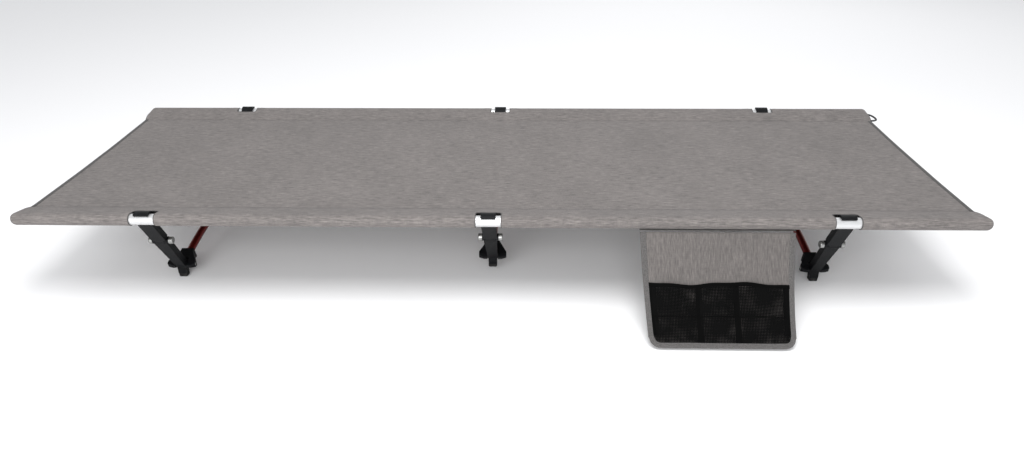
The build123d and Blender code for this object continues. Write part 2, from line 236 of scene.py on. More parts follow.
def thread(name, level):
    """Twisted sewing thread."""
    f = Finish(name, Specular_IOR_Level=0.35)
    here = f.place("Object")
    twist = f.noise(here, 1800.0, 2.0, 0.6)
    f.colour(f.mix(twist, grey(level * 0.8, 0.02), grey(level * 1.2, 0.02)))
    f.bump(twist, 0.0001, 0.5)
    f.rough(0.62 + twist * 0.15)
    return f.material


def knitted_mesh(name):
    """Black net: round holes in staggered rows, with solid yarn between them; the holes are closed in random
    patches, partly for the net's double layers and partly as painted shade.
    """
    f = Finish(name, Specular_IOR_Level=0.03, Sheen_Weight=0.005)
    cut = f.place("UV")
    x, y, z = f.parts(cut)
    pitch = 2 * math.pi / 0.0056
    diagonal = ((x + y) * pitch).sin() * ((x - y) * pitch).sin()
    # holes open only in patches; elsewhere the net is solid black, which stands partly for its double layers
    # and partly for painted shade behind it
    double_layer_and_shade_patches = f.noise(cut, 30.0, 2.0, 0.5)
    hole = (diagonal + (double_layer_and_shade_patches - 0.5) * 2.4).above(0.72)
    f.alpha(1.0 - hole)
    yarn = f.noise(f.stretched(cut, (700, 700, 1)), 1.0, 2.0, 0.6)
    f.colour(f.mix(yarn, grey(0.001), grey(0.004)))
    f.bump(diagonal * -1.0 + yarn * 0.4, 0.0003, 0.6)
    f.rough(0.62 + yarn * 0.2)
    return f.material


def black_tape(name):
    """Black elastic and seam tape on the net."""
    f = Finish(name, Specular_IOR_Level=0.03, Sheen_Weight=0.005)
    cut = f.place("UV")
    x, y, z = f.parts(cut)
    ribs = (y * (2 * math.pi / 0.0012)).sin()
    fuzz = f.noise(f.stretched(cut, (300, 900, 1)), 1.0, 2.0, 0.6)
    f.colour(f.mix(fuzz, grey(0.001), grey(0.003)))
    f.bump(ribs + fuzz, 0.0002, 0.5)
    f.rough(0.7 + fuzz * 0.15)
    return f.material


def moulded_nylon(name):
    """Black glass-filled nylon with a fine spark texture and paler rubbed patches."""
    f = Finish(name, Specular_IOR_Level=0.16)
    here = f.place("Object")
    grain = f.noise(here, 1500.0, 3.0, 0.6)
    rub = f.noise(here, 70.0, 4.0, 0.65)
    f.colour(f.mix(rub.step(0.52, 0.74), (0.0022, 0.0025, 0.0032, 1), (0.0090, 0.0100, 0.0115, 1)))
    f.rough(0.40 + rub * 0.18 + grain * 0.08)
    f.bump(grain, 0.00012, 0.5)
    return f.material


def anodised_red(name):
    """Dark red anodised tube, drawn lengthways."""
    f = Finish(name, Specular_IOR_Level=0.4, Metallic=0.80)
    here = f.place("Object")
    drawn = f.noise(f.stretched(here, (2600, 12, 1200)), 1.0, 2.0, 0.5)
    cloud = f.noise(here, 16.0, 2.0, 0.5)
    f.colour(f.mix(cloud * 0.7 + drawn * 0.3, (0.085, 0.005, 0.004, 1), (0.21, 0.015, 0.009, 1)))
    f.rough(0.24 + drawn * 0.14)
    f.bump(drawn, 0.00004, 0.35)
    return f.material


def drawn_aluminium(name):
    """Bright satin tube with fine lengthways draw lines and faint handling marks."""
    f = Finish(name, Metallic=0.75)
    here = f.place("Object")
    drawn = f.noise(f.stretched(here, (10, 2400, 2400)), 1.0, 3.0, 0.55)
    marks = f.noise(here, 60.0, 4.0, 0.7)
    f.colour(f.mix(drawn * 0.6 + marks * 0.4, (0.52, 0.525, 0.53, 1), (0.78, 0.78, 0.785, 1)))
    f.rough(0.26 + drawn * 0.12 + marks * 0.10)
    f.bump(drawn, 0.00003, 0.4)
    return f.material


def turned_steel(name):
    """Turned bolt heads and pins."""
    f = Finish(name, Metallic=0.95)
    here = f.place("Object")
    rings = f.noise(f.stretched(here, (3000, 120, 120)), 1.0, 2.0, 0.5)
    tarnish = f.noise(here, 240.0, 3.0, 0.6)
    f.colour(f.mix(tarnish, (0.16, 0.165, 0.16, 1), (0.46, 0.46, 0.45, 1)))
    f.rough(0.22 + rings * 0.2)
    f.bump(rings, 0.00004, 0.5)
    return f.material


def foot_rubber(name):
    """Matt black rubber with dust in its grain."""
    f = Finish(name, Specular_IOR_Level=0.3)
    here = f.place("Object")
    grain = f.noise(here, 900.0, 3.0, 0.65)
    dust = f.noise(here, 130.0, 3.0, 0.6)
    f.colour(f.mix(dust.step(0.5, 0.8), (0.008, 0.008, 0.008, 1), (0.035, 0.034, 0.032, 1)))
    f.rough(0.74 + grain * 0.16)
    f.bump(grain, 0.0002, 0.6)
    return f.material


def braided_cord(name):
    """Black braided cord."""
    f = Finish(name, Specular_IOR_Level=0.35, Sheen_Weight=0.1)
    cut = f.place("Object")
    x, y, z = f.parts(cut)
    braid = ((x + y + z) * 4200.0).sin() * ((x - y + z) * 4200.0).sin()
    fuzz = f.noise(cut, 1600.0, 2.0, 0.6)
    f.colour(f.mix(fuzz, grey(0.006), grey(0.028)))
    f.bump(braid + fuzz, 0.0003, 0.7)
    f.rough(0.7 + fuzz * 0.15)
    return f.material


# ---- mesh helpers ----


def new_mesh(name, vertices, faces, material, cut=None, smooth=True):
    """A mesh object; cut gives each vertex its place on the flat cloth, in metres."""
    mesh = bpy.data.meshes.new(name)
    mesh.from_pydata([tuple(v) for v in vertices], [], faces)
    mesh.validate()
    if cut is not None:
        layer = mesh.uv_layers.new(name="cut")
        for loop in mesh.loops:
            layer.data[loop.index].uv = cut[loop.vertex_index]
    for polygon in mesh.polygons:
        polygon.use_smooth = smooth
    made = bpy.data.objects.new(name, mesh)
    bpy.context.scene.collection.objects.link(made)
    made.data.materials.append(material)
    return made


def thicken(obj, thickness, offset=0.0):
    solid = obj.modifiers.new("thickness", "SOLIDIFY")
    solid.thickness = thickness
    solid.offset = offset
    solid.use_even_offset = False
    return obj


def soften(obj, width, segments=2):
    """Rounds a moulded piece's sharp edges."""
    bevel = obj.modifiers.new("rounded_edges", "BEVEL")
    bevel.width = width
    bevel.segments = segments
    bevel.limit_method = "ANGLE"
    bevel.angle_limit = math.radians(40)
    bevel.use_clamp_overlap = True
    return obj


def spaced(low, high, step, extra=()):
    """Numbers from low to high about step apart, with some that must be among them."""
    stops = sorted({low, high, *[e for e in extra if low < e < high]})
    out = []
    for start, end in zip(stops, stops[1:]):
        count = max(1, round((end - start) / step))
        out += [start + (end - start) * i / count for i in range(count)]
    return out + [high]


def stitch_row(vertices, faces, path, up, pitch=0.0036, length=0.0026, width=0.0007):
    """Adds a row of stitches along a path; up(point index) is the way out of the cloth."""
    travelled = 0.0
    due = pitch / 2
    for index in range(len(path) - 1):
        start, end = path[index], path[index + 1]
        run = (end - start).length
        if run < 1e-7:
            continue
        ahead = (end - start) / run
        out = up(index)
        side = ahead.cross(out).normalized()
        while due <= travelled + run:
            middle = start + ahead * (due - travelled)
            base = len(vertices)
            for place, size in ((-0.5, 0.25), (-0.28, 1.0), (0.28, 1.0), (0.5, 0.25)):
                for turn in range(5):
                    angle = 2 * math.pi * turn / 5
                    spread = side * math.cos(angle) + out * math.sin(angle) * 0.7
                    vertices.append(middle + ahead * (place * length) + spread * (width * size / 2))
            for ring in range(3):
                for turn in range(5):
                    a = base + ring * 5 + turn
                    b = base + ring * 5 + (turn + 1) % 5
                    faces.append((a, b, b + 5, a + 5))
            faces.append(tuple(base + turn for turn in range(5))[::-1])
            faces.append(tuple(base + 15 + turn for turn in range(5)))
            due += pitch
        travelled += run


def stitches(name, rows, material, **sizes):
    """One object holding several rows of stitches, each a path with its outward direction."""
    vertices, faces = [], []
    for path, up in rows:
        stitch_row(vertices, faces, path, up, **sizes)
    return new_mesh(name, vertices, faces, material)


def ribbon(name, centre, across, out, width, height, material, ends=0.0):
    """A strip of folded tape along a line: across and out give its directions at each point."""
    section = [(-0.5, 0.0), (-0.47, 0.7), (-0.3, 1.0), (0.0, 0.93), (0.3, 1.0), (0.47, 0.7), (0.5, 0.0)]
    section += [(0.47, -0.7), (0.3, -1.0), (0.0, -0.93), (-0.3, -1.0), (-0.47, -0.7)]
    count = len(section)
    vertices, faces, cut = [], [], []
    travelled = 0.0
    for index, point in enumerate(centre):
        if index:
            travelled += (point - centre[index - 1]).length
        for u, h in section:
            vertices.append(point + across[index] * (u * width) + out[index] * (h * height / 2))
            cut.append((travelled, u * width))
        if index:
            for k in range(count):
                a = (index - 1) * count + k
                b = (index - 1) * count + (k + 1) % count
                faces.append((a, b, b + count, a + count))
    faces.append(tuple(range(count))[::-1])
    last = (len(centre) - 1) * count
    faces.append(tuple(last + k for k in range(count)))
    return new_mesh(name, vertices, faces, material, cut)


def tube(name, path, radius, material, closed=False, sides=8):
    """A round cord or rolled hem along a path."""
    curve = bpy.data.curves.new(name, "CURVE")
    curve.dimensions = "3D"
    spline = curve.splines.new("POLY")
    spline.points.add(len(path) - 1)
    for point, place in zip(spline.points, path):
        point.co = (*place, 1)
    spline.use_cyclic_u = closed
    curve.bevel_depth = radius
    curve.bevel_resolution = max(1, sides // 4)
    made = bpy.data.objects.new(name, curve)
    bpy.context.scene.collection.objects.link(made)
    mesh = bpy.data.meshes.new_from_object(made.evaluated_get(bpy.context.evaluated_depsgraph_get()))
    bpy.data.objects.remove(made)
    piece = bpy.data.objects.new(name, mesh)
    bpy.context.scene.collection.objects.link(piece)
    mesh.materials.clear()
    mesh.materials.append(material)
    for polygon in mesh.polygons:
        polygon.use_smooth = True
    return piece


# ---- the bed cloth ----

# Across the bed the cloth runs from the front seam back under the front rail, up round it and
# down to the seam again, over the panel to the back seam, and round the back rail to that seam.
# A place on it is given by x along the bed and s, the distance along that line.
TO_SEAM = math.hypot(SEAM_INSET, SEAM_DROP)
SIDE = math.sqrt(TO_SEAM**2 - CLOTH_R**2)
SPREAD = math.acos(CLOTH_R / TO_SEAM)
DIP = -math.atan2(SEAM_DROP, SEAM_INSET)
WRAP = 2 * (math.pi - SPREAD) * CLOTH_R
TOP_START = SIDE + WRAP
SEAM_S = TOP_START + SIDE
PANEL = 2 * (RAIL_Y - SEAM_INSET)
CLOTH_WIDTH = 2 * SEAM_S + PANEL


def front_section(s):
    """(inward, up) from the rail's axis for the cloth at s, up to the middle of the bed."""
    low = (CLOTH_R * math.cos(DIP - SPREAD), CLOTH_R * math.sin(DIP - SPREAD))
    high = (CLOTH_R * math.cos(DIP + SPREAD), CLOTH_R * math.sin(DIP + SPREAD))
    if s < SIDE:
        part = s / SIDE
        bag = 0.0012 * math.sin(math.pi * part)
        return (SEAM_INSET + (low[0] - SEAM_INSET) * part, -SEAM_DROP + (low[1] + SEAM_DROP) * part - bag)
    if s < TOP_START:
        angle = DIP - SPREAD - (s - SIDE) / CLOTH_R
        return (CLOTH_R * math.cos(angle), CLOTH_R * math.sin(angle))
    if s < SEAM_S:
        part = (s - TOP_START) / SIDE
        bag = 0.0012 * math.sin(math.pi * part)
        return (high[0] + (SEAM_INSET - high[0]) * part, high[1] + (-SEAM_DROP - high[1]) * part + bag)
    return (SEAM_INSET + s - SEAM_S, -SEAM_DROP)


def at_inset(inset, over=True):
    """The s of the sleeve's upper or lower layer at a distance inward of the rail's axis."""
    start = CLOTH_R * math.cos(DIP + SPREAD if over else DIP - SPREAD)
    part = (inset - start) / (SEAM_INSET - start)
    return TOP_START + SIDE * part if over else SIDE * (1 - part)


def end_of_cloth(s):
    """How far along the bed the cloth reaches at s: its edge slants from the sleeve's tip to the
    hem's corner."""
    inward = front_section(min(s, CLOTH_WIDTH - s))[0]
    if inward < SEAM_INSET:
        slant = min(1.0, max(0.0, (inward - 0.010) / (SEAM_INSET - 0.010)))
        return SLEEVE_END - 0.0008 - (SLEEVE_END - 0.0008 - HEM_END) * slant**1.6
    across = (inward - RAIL_Y) / (RAIL_Y - SEAM_INSET)
    return HEM_END - HEM_BOW * (1 - across * across)


def on_bed(x, s, lift=0.0):
    """A point of the bed cloth: x runs from -SLEEVE_END to SLEEVE_END, s across the cloth."""
    straight = 0.86
    if abs(x) > straight:
        reach = end_of_cloth(s)
        x = math.copysign(straight + (abs(x) - straight) / (SLEEVE_END - straight) * (reach - straight), x)
    mirrored = s > CLOTH_WIDTH / 2
    inward, up = front_section(CLOTH_WIDTH - s if mirrored else s)
    if inward < SEAM_INSET:
        # the sleeve's end closes round the rail's domed cap
        fall = min(0.985, max(0.0, (abs(x) - 0.9375) / 0.0120))
        pinch = math.sqrt(1 - fall * fall)
        near = 1 - max(0.0, inward) / SEAM_INSET
        up = -SEAM_DROP * (1 - near) + (up + SEAM_DROP * (1 - near)) * (pinch + (1 - pinch) * 0.12)
        if inward < 0:
            inward *= pinch
        # thin creases run from each window towards the seam
        edge = min(abs(abs(x - leg) - WINDOW_HALF) for leg in LEG_X.values())
        up += 0.0004 * math.exp(-((edge - 0.012) / 0.006) ** 2) * (1 if s > TOP_START else 0)
    else:
        across = math.sin(math.pi * min(1.0, (inward - SEAM_INSET) / PANEL))
        hang = 0.0022 + 0.0012 * math.cos(2 * math.pi * x / 0.685)
        up -= hang * across
        ripple = math.sin(31 * x + 9 * inward) * math.sin(17 * inward + 4) * 0.0005
        up += ripple * across
    y = -RAIL_Y + inward
    point = Vector((x, -y if mirrored else y, RAIL_Z + up))
    if lift:
        point += bed_normal(x, s) * lift
    return point


def bed_normal(x, s):
    """The way out of the cloth."""
    step = 0.0008
    along = on_bed(min(x + step, SLEEVE_END), s) - on_bed(max(x - step, -SLEEVE_END), s)
    around = on_bed(x, min(s + step, CLOTH_WIDTH)) - on_bed(x, max(s - step, 0.0))
    return along.cross(around).normalized()


WINDOW_HIGH = at_inset(WINDOW_OVER)
WINDOW_LOW = at_inset(WINDOW_UNDER, over=False)
WINDOW_MIDDLE = (WINDOW_HIGH + WINDOW_LOW) / 2
WINDOW_REACH = (WINDOW_HIGH - WINDOW_LOW) / 2


def window_distance(x, s):
    """How far a place on the cloth is outside the nearest window, less than 0 inside it, and the
    way out of the window from there."""
    mirrored = s > CLOTH_WIDTH / 2
    if mirrored:
        s = CLOTH_WIDTH - s
    nearest = min(LEG_X.values(), key=lambda leg: abs(x - leg))
    along, around = x - nearest, s - WINDOW_MIDDLE
    dx = abs(along) - (WINDOW_HALF - WINDOW_CORNER)
    ds = abs(around) - (WINDOW_REACH - WINDOW_CORNER)
    if dx > 0 and ds > 0:
        far = math.hypot(dx, ds)
        distance, way = far - WINDOW_CORNER, (dx / far, ds / far)
    elif dx > ds:
        distance, way = dx - WINDOW_CORNER, (1, 0)
    else:
        distance, way = ds - WINDOW_CORNER, (0, 1)
    out = (math.copysign(way[0], along), math.copysign(way[1], around) * (-1 if mirrored else 1))
    return distance, out


def make_bed_cloth(material):
    """One sheet: panel and sleeves, with six windows cut out."""
    steps = (-0.0018, 0.0, 0.0018, 0.0036)
    stops = [
        leg + side * (WINDOW_HALF - step) for leg in LEG_X.values() for side in (-1, 1) for step in steps
    ]
    xs = spaced(-SLEEVE_END, SLEEVE_END, 0.0085, stops + [0.86, -0.86, 0.915, -0.915, 0.936, -0.936])
    ends = spaced(0.936, SLEEVE_END, 0.0016)[1:-1]
    xs = sorted(set(xs + ends + [-x for x in ends]))
    seam_lines = [SEAM_S + d for d in (-0.0045, -0.0022, 0.0, 0.0022, 0.0045)]
    window_lines = [WINDOW_LOW + step for step in steps] + [WINDOW_HIGH - step for step in steps]
    half = spaced(0, CLOTH_WIDTH / 2, 0.0085, [SIDE, TOP_START, *seam_lines, *window_lines])
    half = sorted(set([s for s in half if not SIDE < s < TOP_START] + spaced(SIDE, TOP_START, 0.0022)))
    ss = half + [CLOTH_WIDTH - s for s in half[-2::-1]]
    vertices, cut = [], []
    for x in xs:
        for s in ss:
            away, out = window_distance(x, s)
            if abs(away) < 0.0015:
                x_new, s_new = x - away * out[0], s - away * out[1]
            else:
                x_new, s_new = x, s
            vertices.append(on_bed(x_new, s_new))
            cut.append((x_new, s_new))
    rows = len(ss)
    faces = []
    for i in range(len(xs) - 1):
        for j in range(rows - 1):
            middle = ((xs[i] + xs[i + 1]) / 2, (ss[j] + ss[j + 1]) / 2)
            if window_distance(*middle)[0] > -0.0002:
                faces.append((i * rows + j, (i + 1) * rows + j, (i + 1) * rows + j + 1, i * rows + j + 1))
    cloth = new_mesh("bed_fabric", vertices, faces, material, cut)
    tidy = bmesh.new()
    tidy.from_mesh(cloth.data)
    bmesh.ops.delete(tidy, geom=[v for v in tidy.verts if not v.link_faces], context="VERTS")
    tidy.to_mesh(cloth.data)
    tidy.free()
    thicken(cloth, CLOTH_T)
    return cloth


def window_outline(leg, side):
    """Places on the cloth all the way round one window."""
    flat, reach = WINDOW_HALF - WINDOW_CORNER, WINDOW_REACH - WINDOW_CORNER
    places = []
    for quarter, (sx, ss) in enumerate(((1, 1), (-1, 1), (-1, -1), (1, -1))):
        for turn in range(7):
            angle = math.pi / 2 * (quarter + turn / 6)
            around = (WINDOW_CORNER * math.cos(angle), WINDOW_CORNER * math.sin(angle))
            places.append((sx * flat + around[0], ss * reach + around[1]))
        long_side = quarter in (1, 3)
        count = 24 if long_side else 6
        for k in range(1, count):
            part = k / count
            if long_side:
                places.append((sx * WINDOW_HALF, ss * reach * (1 - 2 * part)))
            else:
                places.append((sx * flat * (1 - 2 * part), ss * WINDOW_REACH))
    places = [(leg + x, WINDOW_MIDDLE + s) for x, s in places]
    return places if side == "front" else [(x, CLOTH_WIDTH - s) for x, s in places]


def make_window_hems(material):
    """A rolled hem round each window."""
    hems = []
    for leg, x in LEG_X.items():
        for side in SIDES:
            path = [on_bed(px, ps) for px, ps in window_outline(x, side)]
            hems.append(tube(f"{leg}_{side}_window_hem", path, 0.00095, material, closed=True))
    return hems


def make_sleeve_seams(thread_material):
    """Twin rows of stitches where each sleeve is sewn to the panel."""
    rows = []
    for side in SIDES:
        for offset in (-0.0022, 0.0022):
            s = SEAM_S + offset
            s = s if side == "front" else CLOTH_WIDTH - s
            path = [on_bed(x, s) + Vector((0, 0, 0.0006)) for x in spaced(-0.940, 0.940, 0.012)]
            rows.append((path, lambda index: Vector((0, 0, 1))))
    return stitches("sleeve_stitching", rows, thread_material, width=0.0006)


def make_hem(end, tape_material, thread_material):
    """Folded tape over one end of the panel, with its stitches."""
    name = "right" if end > 0 else "left"
    width = 0.0085
    places = spaced(SEAM_S - 0.001, CLOTH_WIDTH - SEAM_S + 0.001, 0.01)
    edge = [on_bed(end * SLEEVE_END, s) for s in places]
    centre = [point - Vector((end * (width / 2 - 0.0006), 0, 0)) for point in edge]
    across = [Vector((end, 0, 0))] * len(places)
    out = [Vector((0, 0, 1))] * len(places)
    tape = ribbon(f"{name}_hem_tape", centre, across, out, width, 0.0025, tape_material)
    rows = []
    for offset in (-0.0028, 0.0012):
        path = [c + a * offset + Vector((0, 0, 0.0013)) for c, a in zip(centre, across)]
        rows.append((path, lambda index: Vector((0, 0, 1))))
    sewing = stitches(f"{name}_hem_stitching", rows, thread_material, width=0.0007)
    return tape, sewing


def make_sleeve_end_hem(end, side, material):
    """The rolled edge where a sleeve's end is turned in, from the hem round the rail's tip."""
    places = spaced(0.004, SEAM_S, 0.003)
    if side == "back":
        places = [CLOTH_WIDTH - s for s in places]
    path = [on_bed(end * SLEEVE_END, s) for s in places]
    name = "right" if end > 0 else "left"
    return tube(f"{name}_{side}_sleeve_end_hem", path, 0.0009, material)


def make_corner_loop(material):
    """The cord loop at the back right corner."""
    route = [(0.9502, 0.300, 0.191), (0.958, 0.300, 0.1905), (0.968, 0.281, 0.186), (0.956, 0.259, 0.189),
             (0.9444, 0.259, 0.189)]
    curve = bpy.data.curves.new("corner_cord", "CURVE")
    curve.dimensions = "3D"
    spline = curve.splines.new("NURBS")
    spline.points.add(len(route) - 1)
    for point, place in zip(spline.points, route):
        point.co = (*place, 1)
    spline.order_u = 3
    spline.use_endpoint_u = True
    spline.resolution_u = 12
    curve.bevel_depth = 0.0022
    curve.bevel_resolution = 4
    curve.use_fill_caps = True
    made = bpy.data.objects.new("corner_cord", curve)
    bpy.context.scene.collection.objects.link(made)
    curve.materials.append(material)
    return made, route


# ---- the side pocket ----


def pocket_curve():
    """Centre of the pocket's curve and its angles at the hinge and the toe."""
    out = POCKET_TOE[0] - POCKET_HINGE[0]
    down = POCKET_TOE[1] - POCKET_HINGE[1]
    reach = math.hypot(out, down)
    rise = math.sqrt(POCKET_RADIUS**2 - reach**2 / 4)
    centre = ((POCKET_HINGE[0] + POCKET_TOE[0]) / 2 + down / reach * rise,
              (POCKET_HINGE[1] + POCKET_TOE[1]) / 2 - out / reach * rise)
    start = math.atan2(POCKET_HINGE[1] - centre[1], POCKET_HINGE[0] - centre[0])
    end = math.atan2(POCKET_TOE[1] - centre[1], POCKET_TOE[0] - centre[0])
    return centre, start, end


POCKET_CENTRE, POCKET_A0, POCKET_A1 = pocket_curve()
POCKET_LENGTH = abs(POCKET_A1 - POCKET_A0) * POCKET_RADIUS


def pocket_half(v):
    """Half the pocket's width at a distance down from its hinge, rounded at the foot."""
    part = v / POCKET_LENGTH
    half = (POCKET_TOP_W + (POCKET_FOOT_W - POCKET_TOP_W) * part) / 2
    left = POCKET_LENGTH - v
    if left < POCKET_CORNER:
        half -= POCKET_CORNER - math.sqrt(max(0.0, POCKET_CORNER**2 - (POCKET_CORNER - left) ** 2))
    return half


def on_pocket(u, v, lift=0.0):
    """A point of the pocket: u along the bed from its middle, v down from the hinge."""
    angle = POCKET_A0 + (POCKET_A1 - POCKET_A0) * v / POCKET_LENGTH
    loose = math.sin(math.pi * min(1.0, v / POCKET_LENGTH))
    wave = (math.sin(34 * u + 0.8) * 0.0010 + math.sin(71 * u + 2.1) * 0.0004) * loose
    r = POCKET_RADIUS - lift - wave
    y, z = POCKET_CENTRE[0] + r * math.cos(angle), POCKET_CENTRE[1] + r * math.sin(angle)
    return Vector((POCKET_X + u, y, z))


def pocket_out(u, v):
    angle = POCKET_A0 + (POCKET_A1 - POCKET_A0) * v / POCKET_LENGTH
    return Vector((0, -math.cos(angle), -math.sin(angle)))


def net_slack(u, v):
    """How far the net's upper edge has slipped down from a straight line, fading out below it."""
    down = (v / POCKET_LENGTH - MESH_START) / (1 - MESH_START)
    wave = 0.0026 * math.sin(33 * u + 3.6) + 0.0009 * math.sin(88 * u)
    return wave * max(0.0, 1 - down) ** 2


def pocket_sheet(name, v_start, v_end, inset, lift, material, columns=60, step=0.004, slack=None):
    """A sheet on the pocket's curve between its sides; lift(u, v) raises it off the back cloth."""
    vs = spaced(v_start, v_end, step)
    foot = [v_end - (v_end - v_start) * 0.06 * (1 - k / 7) ** 2 for k in range(1, 7)]
    vs = sorted(set(vs + foot))
    vertices, cut, faces = [], [], []
    for v in vs:
        half = pocket_half(min(v, POCKET_LENGTH - inset)) - inset
        if inset and POCKET_LENGTH - v < POCKET_CORNER:
            left = max(0.0, POCKET_LENGTH - inset - v)
            corner = POCKET_CORNER - inset
            full = (POCKET_FOOT_W / 2) - inset
            half = full - corner + math.sqrt(max(0.0, corner**2 - (corner - min(left, corner)) ** 2))
        for column in range(columns + 1):
            u = half * (2 * column / columns - 1)
            vertices.append(on_pocket(u, v + (slack(u, v) if slack else 0.0), lift(u, v)))
            cut.append((u, v))
    row = columns + 1
    for i in range(len(vs) - 1):
        for j in range(columns):
            faces.append((i * row + j, (i + 1) * row + j, (i + 1) * row + j + 1, i * row + j + 1))
    return new_mesh(name, vertices, faces, material, cut)


def pocket_edge(inset, start=0.0025):
    """Places down the left side, round the foot and up the right side."""
    places = []
    length = POCKET_LENGTH - inset
    corner = POCKET_CORNER - inset
    foot_half = POCKET_FOOT_W / 2 - inset
    for v in spaced(start, length - corner, 0.006):
        places.append((-(pocket_half(v) - inset), v))
    for turn in range(1, 10):
        angle = math.pi + turn * math.pi / 20
        u = -foot_half + corner + corner * math.cos(angle)
        places.append((u, length - corner - corner * math.sin(angle)))
    count = 30
    bottom = [(-foot_half + corner + 2 * (foot_half - corner) * k / count, length) for k in range(count + 1)]
    left = list(places)
    return left + bottom + [(-u, v) for u, v in left[::-1]]


def pocket_tape(name, inset, width, height, material, start=0.0025):
    """Tape following the pocket's edge."""
    places = pocket_edge(inset, start)
    centre = [on_pocket(u, v) for u, v in places]
    out = [pocket_out(u, v) for u, v in places]
    across = []
    for index in range(len(places)):
        ahead = centre[min(index + 1, len(places) - 1)] - centre[max(index - 1, 0)]
        across.append(ahead.cross(out[index]).normalized())
    return ribbon(name, centre, across, out, width, height, material)


def compartment_bulge(u, v):
    """How far the net stands off the back cloth, in three compartments between the seams."""
    top = MESH_START * POCKET_LENGTH
    bottom = POCKET_LENGTH - BORDER_W
    down = min(1.0, max(0.0, (v - top) / (bottom - top)))
    half = pocket_half(min(v, POCKET_LENGTH - POCKET_CORNER)) - BORDER_W
    seams = (-half, *DIVIDERS, half)
    for low, high in zip(seams, seams[1:]):
        if low <= u <= high:
            part = (u - low) / (high - low)
            belly = math.sin(math.pi * part) ** 0.7 if 0 < part < 1 else 0.0
            close = (1 - down) ** 0.35 * 0.55 + math.sin(math.pi * min(1.0, down * 1.05)) ** 0.8 * 0.55
            crease = 0.0010 * math.sin(55 * u + 60 * v) * belly
            return 0.0011 + 0.0066 * belly * close + crease * (1 - down)
    return 0.0011


def make_pocket(materials):
    """Back cloth, edge tape, net with its hem and seams, and the stitching."""
    cloth = pocket_sheet("pocket_cloth", 0.0024, POCKET_LENGTH - 0.004, 0.003, lambda u, v: 0.0,
                         materials["pocket"], 70, 0.005)
    thicken(cloth, 0.0010)
    border = pocket_tape("pocket_edge_tape", BORDER_W / 2, BORDER_W, 0.0027, materials["tape"])
    top = MESH_START * POCKET_LENGTH
    net = pocket_sheet("pocket_net", top, POCKET_LENGTH - BORDER_W + 0.002, BORDER_W - 0.002,
                       compartment_bulge, materials["net"], 110, 0.004, net_slack)
    half = pocket_half(top) - BORDER_W + 0.001
    hem_line = [(-half + 2 * half * k / 110, top) for k in range(111)]
    centre = [
        on_pocket(u, v + 0.0035 + net_slack(u, v), compartment_bulge(u, v) + 0.0004) for u, v in hem_line
    ]
    out = [pocket_out(u, v) for u, v in hem_line]
    down = [(on_pocket(u, v + 0.004) - on_pocket(u, v)).normalized() for u, v in hem_line]
    hem = ribbon("pocket_net_hem", centre, down, out, 0.0075, 0.0015, materials["black tape"])
    seams = []
    for index, place in enumerate((-1, *DIVIDERS, 1)):
        line = [top + 0.004 + (POCKET_LENGTH - BORDER_W - top - 0.004) * k / 30 for k in range(31)]
        at_side = abs(place) == 1
        across = [place] * len(line)
        if at_side:
            halves = [pocket_half(min(v, POCKET_LENGTH - POCKET_CORNER)) for v in line]
            across = [place * (half - BORDER_W - 0.005) for half in halves]
            line, across = line[:27], across[:27]
        middle = [on_pocket(u, v, 0.0016) for u, v in zip(across, line)]
        side = [Vector((1, 0, 0)) for v in line]
        away = [pocket_out(u, v) for u, v in zip(across, line)]
        seams.append(ribbon(f"pocket_divider_{index + 1}", middle, side, away, 0.0115, 0.0015,
                            materials["black tape"]))
    fold = POCKET_LENGTH * 0.735
    span = pocket_half(fold) - BORDER_W
    line = [(-span + 2 * span * k / 110, fold) for k in range(111)]
    crease = [on_pocket(u, v, compartment_bulge(u, v) + 0.0003) for u, v in line]
    seams.append(tube("pocket_net_seam", crease, 0.0006, materials["black tape"]))
    rows = []
    for inset in (0.0022, BORDER_W - 0.0016):
        places = pocket_edge(inset, 0.004)
        path = [on_pocket(u, v, 0.0014) for u, v in places]
        away = [pocket_out(u, v) for u, v in places]
        rows.append((path, lambda index, away=away: away[index]))
    sewing = stitches("pocket_stitching", rows, materials["thread"], pitch=0.0034, width=0.0006)
    return cloth, border, net, hem, seams, sewing


def make_pocket_band(material):
    """The tape under the sleeve that carries the pocket."""
    half = POCKET_TOP_W / 2
    xs = [POCKET_X - half + POCKET_TOP_W * k / 40 for k in range(41)]
    centre = [Vector((x, -RAIL_Y - 0.003, RAIL_Z - 0.0134)) for x in xs]
    across = [Vector((0, 1, 0))] * 41
    out = [Vector((0, 0, 1))] * 41
    return ribbon("pocket_band", centre, across, out, 0.009, 0.0012, material)


# ---- putting it together ----


def dress_frame(materials):
    """Gives every hard piece its finish, and rounds the moulded ones."""
    for name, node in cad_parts.items():
        finish = None
        if "rail_tube" in name or "ferrules" in name:
            finish = materials["aluminium"]
        elif "arch_pole" in name:
            finish = materials["red"]
        elif "hook_arm" in name or name.endswith("lever") or "yoke" in name:
            finish = materials["nylon"]
            soften(node, 0.0011 if "yoke" not in name else 0.0016, 3)
        elif "end_caps" in name:
            finish = materials["nylon"]
        elif "foot_pad" in name:
            finish = materials["rubber"]
        elif "cross_bolt" in name or "foot_pins" in name:
            finish = materials["steel"]
            soften(node, 0.0008, 2)
        elif "shock_cord" in name:
            finish = materials["cord"]
        if finish:
            node.data.materials.clear()
            node.data.materials.append(finish)


